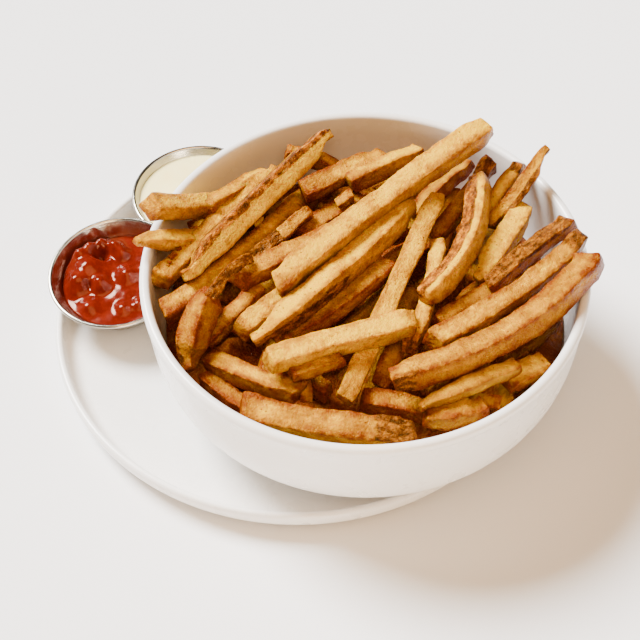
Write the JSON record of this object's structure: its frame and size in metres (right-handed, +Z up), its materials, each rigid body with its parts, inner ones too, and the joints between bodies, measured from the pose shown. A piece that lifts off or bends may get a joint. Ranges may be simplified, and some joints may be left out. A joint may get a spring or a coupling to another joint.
{
  "type": "portion of french fries in a bowl",
  "caption": "Heap of thick hand-cut french fries in a round white bowl, on a plate with a raised rim that also holds small steel cups of ketchup and mayonnaise.",
  "frame": {"origin": "on the flat underside of the plate, straight under the middle of the bowl", "axes": "+Z up; +X to the right and +Y away from the viewer, with the two dip cups to the left of and behind the bowl"},
  "size_m": [0.2522, 0.2429, 0.0984],
  "materials": {
    "plate_glaze": "satin white glaze",
    "bowl_glaze": "satin white glaze",
    "fried_potato": null,
    "steel": "polished, worn",
    "mayonnaise": null,
    "ketchup": null
  },
  "bodies": {
    "root": {"plate": "plate_glaze", "bowl": "bowl_glaze", "fries": "fried_potato", "mayo_cup": "steel", "mayo": "mayonnaise", "ketchup_cup": "steel", "ketchup": "ketchup"}
  },
  "joints": []
}
